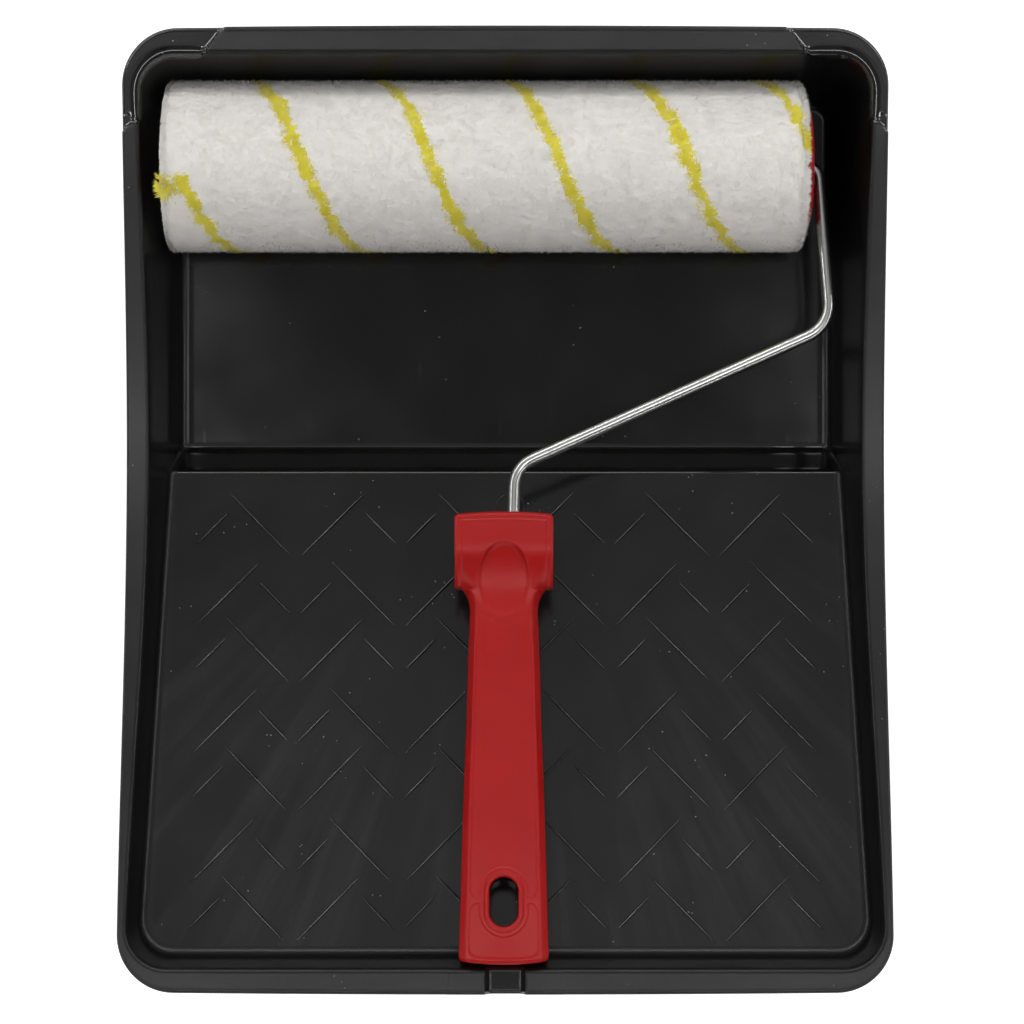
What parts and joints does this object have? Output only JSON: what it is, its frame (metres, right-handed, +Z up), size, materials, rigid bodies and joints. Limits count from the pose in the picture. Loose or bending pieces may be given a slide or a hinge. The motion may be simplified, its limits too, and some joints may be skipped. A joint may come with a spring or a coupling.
{
  "type": "paint roller tray set",
  "caption": "Black moulded paint tray with a deep well and a ribbed ramp, holding a wire-framed roller with a red handle and a striped pile sleeve.",
  "frame": {"origin": "on the ground under the middle of the tray's rim", "axes": "+Y towards the deep end, +Z up, +X towards the side where the rod's leg runs"},
  "size_m": [0.2726, 0.3412, 0.0795],
  "materials": {
    "tray_plastic": "gloss black polypropylene",
    "handle_plastic": "satin red polypropylene with a fine texture",
    "cap_plastic": "satin red polypropylene",
    "rod_steel": "drawn, bright zinc plated",
    "spring_steel": "zinc plated",
    "bush_nylon": "natural nylon",
    "core_plastic": "plain tube",
    "pile_fabric": "white woven polyester pile with two yellow helical stripes"
  },
  "bodies": {
    "tray": {"tray": "tray_plastic"},
    "roller_frame": {"wire_frame": "rod_steel", "handle": "handle_plastic", "inner_washer": "spring_steel", "outer_washer": "spring_steel", "push_nut": "spring_steel"},
    "sleeve": {"inner_end_cap": "cap_plastic", "outer_end_cap": "cap_plastic", "inner_bush": "bush_nylon", "outer_bush": "bush_nylon", "core_tube": "core_plastic", "pile_cover": "pile_fabric", "cage_wire_1": "spring_steel", "cage_wire_2": "spring_steel", "cage_wire_3": "spring_steel", "cage_wire_4": "spring_steel", "cage_wire_5": "spring_steel"}
  },
  "joints": [
    {"name": "roller_lift", "type": "slide", "parent": "tray", "child": "roller_frame", "axis": [0, 0, 1], "range_m": [0, 0.1]},
    {"name": "sleeve_spin", "type": "hinge", "parent": "roller_frame", "child": "sleeve", "pos_m": [0, 0.1238, 0.0335], "axis": [1, 0, 0], "continuous": true}
  ]
}
